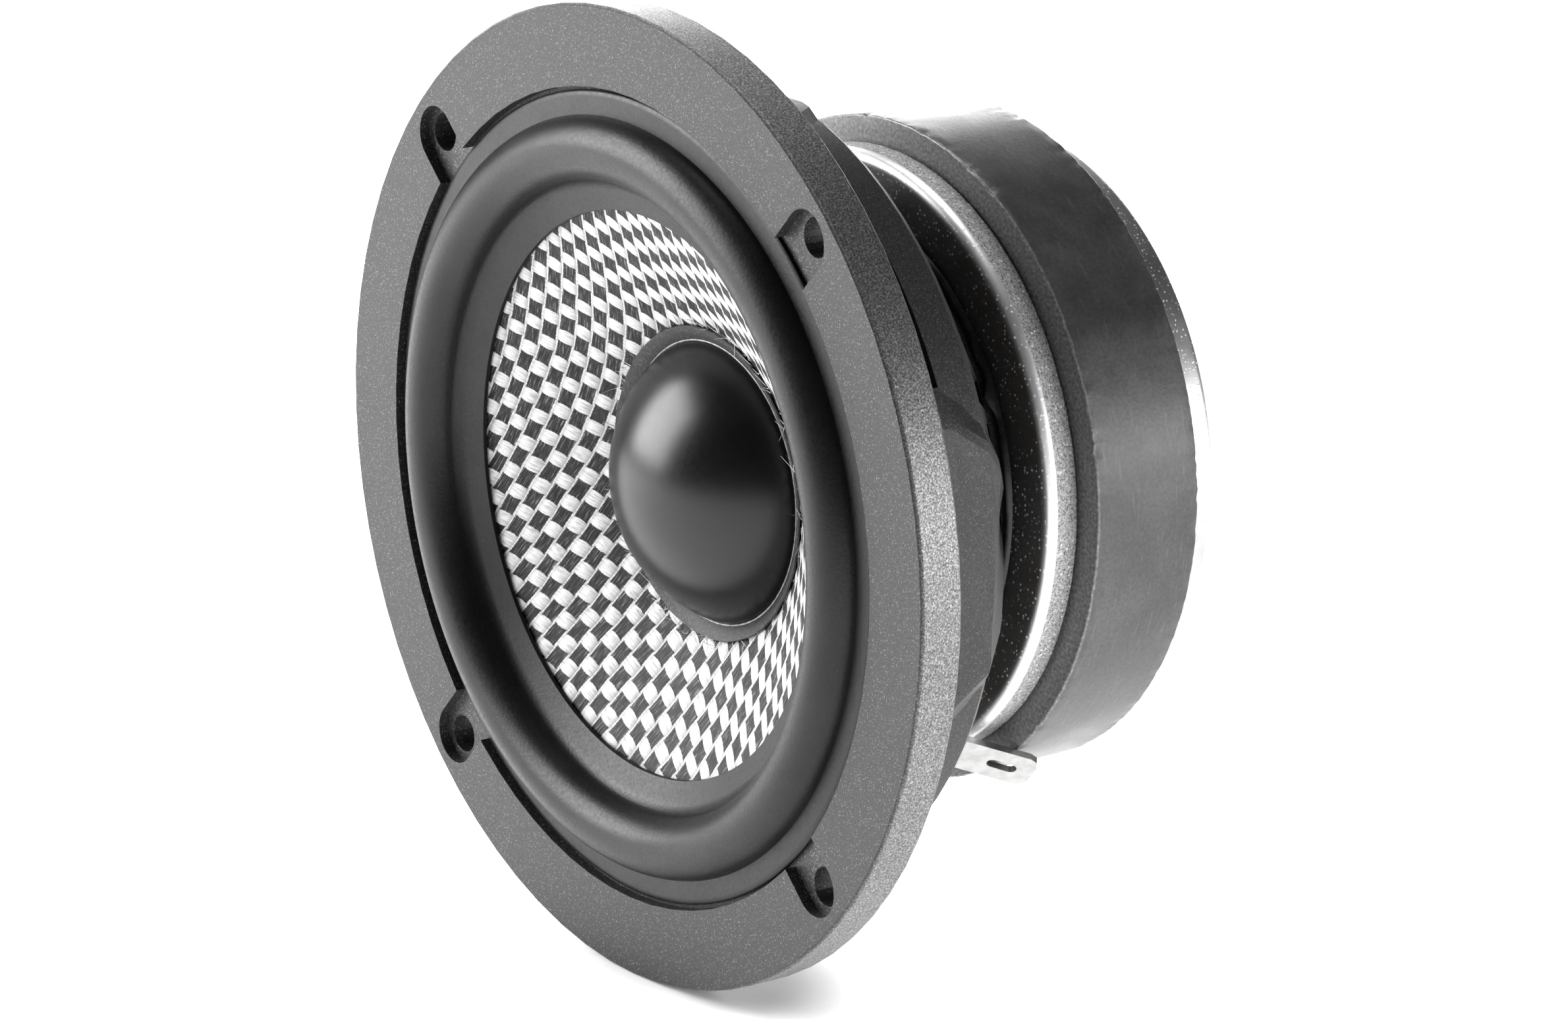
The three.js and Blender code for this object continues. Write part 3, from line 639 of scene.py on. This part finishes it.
def front_plate():
    front, rear = span_y("front_plate")
    section = rounded([(PLATE_BORE_R, front, 0.2), (24, front, 0), (30, front, 0),
                       (PLATE_R, front, PLATE_ROUNDING), (PLATE_R, rear, 0.3), (PLATE_BORE_R, rear, 0.2)], 8)
    disc = turned("front_plate_disc", section, FRAME, "front_plate",
                  wobble=rough_edge(0.12, [(PLATE_R, rear)], 3.0))
    # the front face's tone, 0.3, is painted shade
    dress(disc, plated("zinc", 0.72, 0.88, 0.42, grain_mm=0.4, face=(front, 0.3)))


def magnet():
    front, rear = span_y("magnet")
    flat_r = MAGNET_R - MAGNET_WORN
    wall = [(MAGNET_R, front + (rear - front) * k / MAGNET_BANDS, 0) for k in range(1, MAGNET_BANDS)]
    front_face = [(MAGNET_BORE_R, front, 0.4), (33, front, 0), (flat_r, front, 0), (MAGNET_R, front, 0.25)]
    rear_face = [(MAGNET_R, rear, 0.25), (flat_r, rear, 0), (MAGNET_BORE_R, rear, 0.4)]
    worn = rough_edge(0.32, [(MAGNET_R, front), (MAGNET_R, rear)], 11.0)
    ring = turned("magnet_ring", rounded(front_face + wall + rear_face, 4), FRAME, "magnet",
                  count=420, wobble=worn)
    dress(ring, ferrite())


def back_plate_and_pole(steel):
    front, rear = span_y("back_plate")
    section = rounded([(BACK_BORE_R, front, 0.2), (PLATE_R, front, 0.3), (PLATE_R, rear, 1.0), (20, rear, 0),
                       (BACK_BORE_R, rear, 0.15)], 6)
    dress(turned("back_plate_disc", section, FRAME, "back_plate"), steel)

    shoulder = front - GAP
    neck_r = BACK_BORE_R - GAP
    front, rear = span_y("pole_piece")
    section = rounded([(VENT_R, front, 0.4), (POLE_R, front, 0.5), (POLE_R, shoulder, 0.2),
                       (neck_r, shoulder, 0), (neck_r, rear, 0.15), (VENT_MOUTH_R, rear, 0.2),
                       (VENT_R, rear - 1.5, 0.2)])
    dress(turned("pole", section, FRAME, "pole_piece", count=96), steel)


def seat_glue():
    """A thin bead of adhesive round the basket's seat, with a drop here and there."""
    _, top = span_y("seat_adhesive")
    height, drop_width = 0.9, 1.1
    random.seed(4)
    drops = [(random.uniform(0, 2 * math.pi), random.uniform(0.4, 1.0)) for _ in range(9)] + SEAT_DROPS

    def bead(r, y, a):
        swell = 0.25 + 0.3 * noise.noise(Vector((math.cos(a) * 4, math.sin(a) * 4, 1.7)))
        for drop_a, size in drops:
            gap = (a - drop_a + math.pi) % (2 * math.pi) - math.pi
            swell += size * math.exp(-(gap * SEAT_R / drop_width) ** 2)
        fade = max(0.0, (top - y) / height)
        return r + fade * swell * 0.2, y - fade * max(0.0, swell - 0.25)
    section = [(26.9, top), (26.95, top - 0.35), (27.15, top - 0.52), (27.45, top - 0.5), (27.7, top - 0.3),
               (27.85, top)]
    material = grained("glue", (0.012, 0.012, 0.013), (0.03, 0.03, 0.031), 2.0, 0.3, 0.02)
    dress(turned("seat_bead", section, FRAME, "seat_adhesive", wobble=bead), material)


# ---------------------------------------------------------------- the moving assembly and its suspension

ROLL_R, ROLL_Y, TUBE_R = 37.3, -3.8, 3.5  # the surround's half roll
RUBBER_T = 0.45
LIP_R = 43.3
SPIDER_Y, SPIDER_T = 16.5, 0.4
SPIDER_BORE_R, SPIDER_R = 13.05, 31.6
SPIDER_WAVES, SPIDER_WAVE_H = 4, 0.9
SPIDER_WAVES_FROM, SPIDER_WAVES_TO = 15.0, 28.6
CONE_BORE_R, CONE_EDGE_R, CONE_OUTER_R = 13.05, 30.4, 33.2
CONE_EDGE_Y, CONE_SLOPE, CONE_CURVE, CONE_T = -1.5, 0.5, 0.00576, 0.8
LAND_SLOPE = 0.34  # of the cone under the rubber
YARN_RELIEF = 0.1
COLLAR_R, COLLAR_BORE_R = 17.0, 14.6
FORMER_BORE_R, FORMER_R = 12.35, 12.75
COIL_BORE_R, COIL_R = 13.05, 13.65


def surround_section():
    """An inner land on the cone, a valley, the half roll and a flat outer lip with a raised bead."""
    front = [(CONE_EDGE_R, -2.05), (30.45, -2.25), (30.7, -2.36), (32.6, -3.08),
             (ROLL_R - TUBE_R - 0.2, ROLL_Y + 0.25)]
    steps = 22
    for k in range(1, steps + 1):
        a = math.pi + (math.pi - 0.18) * k / steps
        front.append((ROLL_R + TUBE_R * math.cos(a), ROLL_Y + TUBE_R * math.sin(a)))
    front += [(41.2, -4.42), (42.6, -4.4), (43.1, -4.36), (LIP_R, -4.2)]
    back = [(LIP_R, -4.02), (40.75, -4.01)]
    inner, steps = TUBE_R - RUBBER_T, 14
    for k in range(steps, -1, -1):
        a = math.pi + (math.pi - 0.12) * k / steps
        back.append((ROLL_R + inner * math.cos(a), ROLL_Y + inner * math.sin(a)))
    back += [(33.6, -2.95), (32.4, -2.6), (CONE_EDGE_R, -1.85)]
    return front + back


def surround():
    skin = turned("surround_roll", surround_section(), None, "surround", count=256, smooth=50)
    dress(blended(skin), rubber())


def spider():
    """A round cloth with even waves between two flat rings."""
    line = [(SPIDER_BORE_R, SPIDER_Y)]
    steps = SPIDER_WAVES * 10
    for k in range(steps + 1):
        t = k / steps
        wave = math.sin(2 * math.pi * SPIDER_WAVES * t)
        r = SPIDER_WAVES_FROM + (SPIDER_WAVES_TO - SPIDER_WAVES_FROM) * t
        line.append((r, SPIDER_Y - SPIDER_WAVE_H * wave))
    line += [(30.2, SPIDER_Y), (SPIDER_R, SPIDER_Y)]
    half = SPIDER_T / 2
    section = [(r, y - half) for r, y in line] + [(r, y + half) for r, y in reversed(line)]
    cloth = turned("spider_disc", section, None, "spider", count=160, smooth=60)
    dress(blended(cloth), spider_cloth())


def cone_y(r):
    """The front of the cone's cloth at a distance from the axis: a gentle curve."""
    d = CONE_EDGE_R - r
    return CONE_EDGE_Y + CONE_SLOPE * d + CONE_CURVE * d * d


def weave_lift(x, z):
    """Relief of the cloth at a place on the cone: the white yarn's crowns stand up."""
    terms = (x, z, x * x, x * z, z * z)
    u = sum(a * b for a, b in zip(terms, ALONG_BLACK))
    v = sum(a * b for a, b in zip(terms, ALONG_WHITE))
    fu, fv = u - math.floor(u) - 0.5, v - math.floor(v) - 0.5
    white = (math.floor(u) + math.floor(v)) % 2
    return math.cos(math.pi * fu) * math.cos(math.pi * fv) * (1 if white else 0.2)


def cone():
    rings, first_r = 66, 14.2
    radii = [CONE_BORE_R, 13.6] + [first_r + (CONE_EDGE_R - first_r) * k / rings for k in range(rings + 1)]
    front = [(r, cone_y(min(r, CONE_EDGE_R)) - max(0.0, r - CONE_EDGE_R) * LAND_SLOPE)
             for r in radii + [31.4, CONE_OUTER_R]]
    back = [(r, y + CONE_T) for r, y in (front[-1], front[45], front[22], front[0])]

    def relief(r, y, a):
        behind = y > cone_y(min(r, CONE_EDGE_R)) + CONE_T / 2
        if behind or r < 13.5 or r > CONE_EDGE_R + 0.2:
            return r, y
        return r, y - YARN_RELIEF * weave_lift(r * math.cos(a), r * math.sin(a))
    cloth = turned("cone_cloth", front + back, MOVING, "cone", count=480, wobble=relief, smooth=70)
    dress(cloth, weave())


def frayed_fibres(tone, count, seed, dark, light):
    """Loose fibres where the cloth is cut round the cap, each a thin bent hair."""
    material = grained(f"{tone}_fibre", (dark,) * 3, (light,) * 3, 0.4, 0.5, 0.005)
    random.seed(seed)
    verts, faces = [], []
    rings, sides, root_r = 7, 3, 0.032
    for _ in range(count):
        a = random.uniform(0, 2 * math.pi)
        r = random.uniform(16.6, 17.6)
        head = a + random.uniform(-1.4, 1.4)
        length = random.uniform(0.6, 1.6)
        base = Vector(polar(r, cone_y(r) - 0.15, a))
        step = Vector((math.cos(head), -random.uniform(0.3, 0.9), math.sin(head))) * length / rings
        bend = Vector((random.uniform(-1, 1), random.uniform(-0.5, 0.1), random.uniform(-1, 1))) * 0.035
        first = len(verts)
        for k in range(rings):
            middle = base + step * k + bend * k * k
            wide = root_r * (1 - k / (rings + 2))
            for q in range(sides):
                t = 2 * math.pi * q / sides
                verts.append(middle + Vector((math.cos(t), math.sin(t), math.sin(t + 1))) * wide)
        for k in range(rings - 1):
            for q in range(sides):
                n = (q + 1) % sides
                i = first + k * sides
                faces.append([i + q, i + n, i + sides + n, i + sides + q])
        last = first + (rings - 1) * sides
        faces.append([first + 2, first + 1, first])
        faces.append([last, last + 1, last + 2])
    dress(new_object(f"cone_fibres_{tone}", verts, faces, MOVING, None, 60), material)


def dome():
    """A shallow dome with a rolled rim, and a short skirt that reaches the collar."""
    apex, rim = span_y("dust_cap")
    outer_sphere, inner_sphere = 17.0, 16.3
    thickness = outer_sphere - inner_sphere
    rim_r, skirt_r, skirt_y = 14.75, 15.22, 6.92
    outside, steps = [(0, apex)], 28
    for k in range(1, steps + 1):
        a = math.asin(rim_r / outer_sphere) * k / steps
        outside.append((outer_sphere * math.sin(a), apex + outer_sphere * (1 - math.cos(a))))
    outside += [(15.02, rim - 0.1), (15.16, rim + 0.3), (skirt_r, skirt_y), (14.8, skirt_y)]
    inside, steps = [(14.35, rim), (13.6, rim - 1.0)], 6
    for k in range(steps, 0, -1):
        a = math.asin(13.0 / inner_sphere) * k / steps
        inside.append((inner_sphere * math.sin(a), apex + thickness + inner_sphere * (1 - math.cos(a))))
    inside.append((0, apex + thickness))
    shell = turned("dome", outside + inside, MOVING, "dust_cap", count=160, closed=False,
                   smooth=50)
    dress(shell, satin_black())


def collar_and_seam():
    """The paper ring under the dome, cut a little unevenly, and the thin line of glue between them."""
    inner, outer = COLLAR_BORE_R, COLLAR_R
    ring = [(inner, cone_y(inner) - 0.3), (inner + 0.05, cone_y(inner) - 0.62), (15.0, cone_y(15) - 0.7),
            (16.5, cone_y(16.5) - 0.66), (16.9, cone_y(16.9) - 0.55), (outer, cone_y(outer) - 0.32)]

    def uneven(r, y, a):
        cut = noise.noise(Vector((math.cos(a) * 9, r, math.sin(a) * 9))) if r > 16.6 else 0
        return r + 0.09 * cut, y
    dress(turned("cap_collar", ring, MOVING, "cap_ring", wobble=uneven), collar_paper())

    seam = [(15.18, 6.75), (15.24, 6.6), (15.33, 6.56), (15.42, 6.6), (15.45, 6.62)]
    glue = grained("seam_glue", (0.16, 0.16, 0.16), (0.34, 0.34, 0.34), 0.8, 0.28, 0.01)
    dress(turned("cap_seam", seam, MOVING, None, count=256, smooth=60), glue)


def sleeve(name, node, inner, outer, fillet, material):
    """A plain tube that stands for a node and has its length."""
    front, rear = span_y(node)
    corners = [(inner, front), (outer, front), (outer, rear), (inner, rear)]
    section = rounded([(r, y, fillet) for r, y in corners])
    dress(turned(name, section, MOVING, node, count=128), material)


def coil():
    film = grained("amber_film", (0.3, 0.12, 0.02), (0.42, 0.19, 0.04), 3.0, 0.25, 0.005, Coat_Weight=0.3)
    sleeve("coil_former", "voice_coil_former", FORMER_BORE_R, FORMER_R, 0, film)
    copper = winding()
    sleeve("coil_winding", "voice_coil", COIL_BORE_R, COIL_R, 0.15, copper)
    for side in SIDES:
        dress(copy_of(f"coil_lead_pad_{side}", f"lead_pad_{side}", MOVING), copper)


# ---------------------------------------------------------------- basket, terminals and leads

def basket():
    dress(copy_of("basket", "basket_casting", FRAME, 11), cast_paint())


def terminals(steel):
    metal = tinned()
    board = grained("phenolic", (0.03, 0.018, 0.01), (0.055, 0.035, 0.02), 0.6, 0.5, 0.02)
    for side in SIDES:
        dress(copy_of(f"terminal_board_{side}", f"board_{side}", FRAME), board)
        dress(copy_of(f"terminal_{side}", f"blade_{side}", FRAME), metal)
        dress(copy_of(f"terminal_rivet_{side}", f"rivet_{side}", FRAME), steel)
        lead = copy_of(f"tinsel_lead_{side}", f"lead_{side}", None, 80)
        dress(blended(lead), metal)


def floor():
    low = cad_box[0].z
    size = FLOOR_HALF_WIDTH
    mesh = bpy.data.meshes.new("floor")
    corners = [(-size, -size), (size, -size), (size, size), (-size, size)]
    mesh.from_pydata([(x, y, low) for x, y in corners], [], [(0, 1, 2, 3)])
    obj = bpy.data.objects.new("floor", mesh)
    bpy.context.scene.collection.objects.link(obj)
    dress(obj, paper_floor())


camera()
studio()
floor()
basket()
steel_finish = plated("steel", 0.4, 0.52, 0.36, rear=span_y("back_plate")[1])
front_plate()
magnet()
back_plate_and_pole(steel_finish)
seat_glue()
surround()
spider()
cone()
frayed_fibres("white", 130, 12, 0.5, 0.75)
frayed_fibres("black", 90, 13, 0.02, 0.05)
dome()
collar_and_seam()
coil()
terminals(steel_finish)
